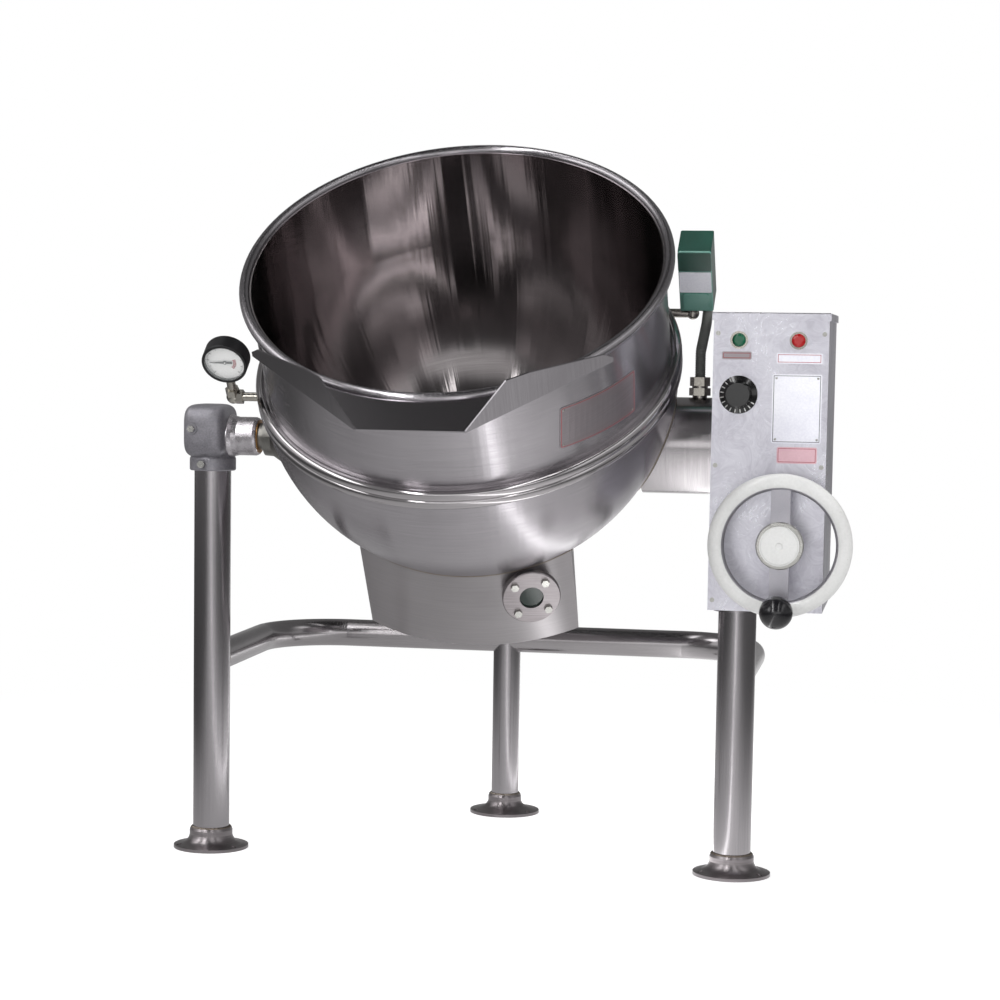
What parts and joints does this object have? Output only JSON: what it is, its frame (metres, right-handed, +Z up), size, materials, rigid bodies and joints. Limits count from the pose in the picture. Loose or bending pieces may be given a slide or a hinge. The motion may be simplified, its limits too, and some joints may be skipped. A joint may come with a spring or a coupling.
{
  "type": "steam jacketed kettle",
  "caption": "Tilting steam-jacketed kettle on a tubular stand, with pouring lip, worm-gear handwheel tilt, control console, pressure gauge and sight glass.",
  "frame": {"origin": "centre of the outline on the floor, at the level of the feet", "axes": "+X from the plain bearing to the control console, along the trunnion axis; +Y from the pouring side to the rear leg; +Z up"},
  "size_m": [1.1135, 1.0284, 1.1619],
  "materials": {
    "stainless_tube": "satin stainless tube",
    "stainless_sheet": "brushed stainless sheet",
    "ring_polished": "polished stainless bead",
    "foot_casting": "satin cast stainless",
    "grey_casting": "grey painted casting",
    "bronze": "machined bronze",
    "wheel_bronze": "cut bronze gear",
    "zinc": "bright zinc-plated steel",
    "console_sheet": "satin stainless sheet",
    "green_lens": "clear green lens",
    "red_lens": "clear red lens",
    "lamp_metal": "plated lamp body",
    "black_plastic": "moulded black plastic",
    "dial_plastic": "gloss black moulding",
    "dial_insert": "spun aluminium insert",
    "cut_steel": "machined steel",
    "wheel_enamel": "off-white enamel",
    "fittings": "plated pipe fittings",
    "heater": "incoloy sheath",
    "sight_steel": "turned stainless",
    "sight_glass": "thick sight glass",
    "gauge_white": "printed white dial",
    "gauge_glass": "clear lens",
    "pointer_black": "black pointer",
    "switch_green": "green enamel",
    "switch_front": "pale green enamel",
    "conduit_grey": "grey flexible conduit",
    "valve_brass": "cast brass",
    "lever_steel": "pressed steel"
  },
  "bodies": {
    "frame": {"left_leg": "stainless_tube", "right_leg": "stainless_tube", "cross_tube": "stainless_tube", "rear_leg": "stainless_tube", "left_foot": "foot_casting", "right_foot": "foot_casting", "rear_foot": "foot_casting", "bearing_casting": "grey_casting", "gearbox": "grey_casting", "left_bush": "bronze", "gearbox_bushes": "bronze", "frame_bolts": "zinc", "console_screws": "zinc", "console_box": "console_sheet", "front_panel": "console_sheet", "console_cover": "console_sheet", "green_lamp": "green_lens", "red_lamp": "red_lens", "lamp_bodies": "lamp_metal", "thermostat": "black_plastic", "contactor": "black_plastic", "terminal_block": "black_plastic", "cable_gland": "black_plastic"},
    "kettle": {"vessel": "stainless_sheet", "jacket": "stainless_sheet", "jacket_ring": "ring_polished", "pouring_lip": "stainless_sheet", "left_trunnion": "cut_steel", "trunnion_tube": "stainless_tube", "gear_shaft": "cut_steel", "worm_wheel": "wheel_bronze", "heater_housing": "stainless_sheet", "housing_cover": "stainless_sheet", "cover_screws": "zinc", "element_boss": "heater", "heating_elements": "heater", "sight_boss": "sight_steel", "sight_flange": "sight_steel", "sight_window": "sight_glass", "sight_bolts": "zinc", "gauge_pipe": "fittings", "gauge_case": "black_plastic", "gauge_dial": "gauge_white", "gauge_lens": "gauge_glass", "switch_case": "switch_green", "switch_cover": "switch_front", "switch_pipe": "fittings", "conduit_connector": "fittings", "conduit": "conduit_grey", "valve_pipe": "fittings", "safety_valve": "valve_brass"},
    "handwheel_shaft": {"worm": "cut_steel", "worm_shaft": "cut_steel", "handwheel": "wheel_enamel", "knob_spindle": "zinc"},
    "grip": {"grip_knob": "black_plastic"},
    "thermostat_dial": {"dial_knob": "dial_plastic", "dial_cap": "dial_insert"},
    "pointer": {"gauge_pointer": "pointer_black"},
    "lever": {"valve_lever": "lever_steel"}
  },
  "joints": [
    {"name": "tilt", "type": "hinge", "parent": "frame", "child": "kettle", "pos_m": [0, 0.0105, 0.686], "axis": [1, 0, 0], "range_deg": [-37, 56]},
    {"name": "handwheel_turn", "type": "hinge", "parent": "frame", "child": "handwheel_shaft", "pos_m": [0.4485, 0.0105, 0.546], "axis": [0, -1, 0], "range_deg": [-1702, 2576]},
    {"name": "grip_spin", "type": "hinge", "parent": "handwheel_shaft", "child": "grip", "pos_m": [0.4485, -0.2095, 0.45], "axis": [0, -1, 0], "continuous": true},
    {"name": "thermostat_turn", "type": "hinge", "parent": "frame", "child": "thermostat_dial", "pos_m": [0.3755, -0.1255, 0.77], "axis": [0, 1, 0], "range_deg": [0, 270]},
    {"name": "pressure_reading", "type": "hinge", "parent": "kettle", "child": "pointer", "pos_m": [-0.4125, -0.20378, 0.80751], "axis": [0, 0.7986, 0.6018], "range_deg": [-45, 225]},
    {"name": "valve_lift", "type": "hinge", "parent": "kettle", "child": "lever", "pos_m": [-0.1715, 0.16237, 1.09595], "axis": [1, 0, 0], "range_deg": [0, 40]}
  ],
  "couplings": [
    {"joint": "handwheel_turn", "follows": "tilt", "ratio": 46}
  ]
}
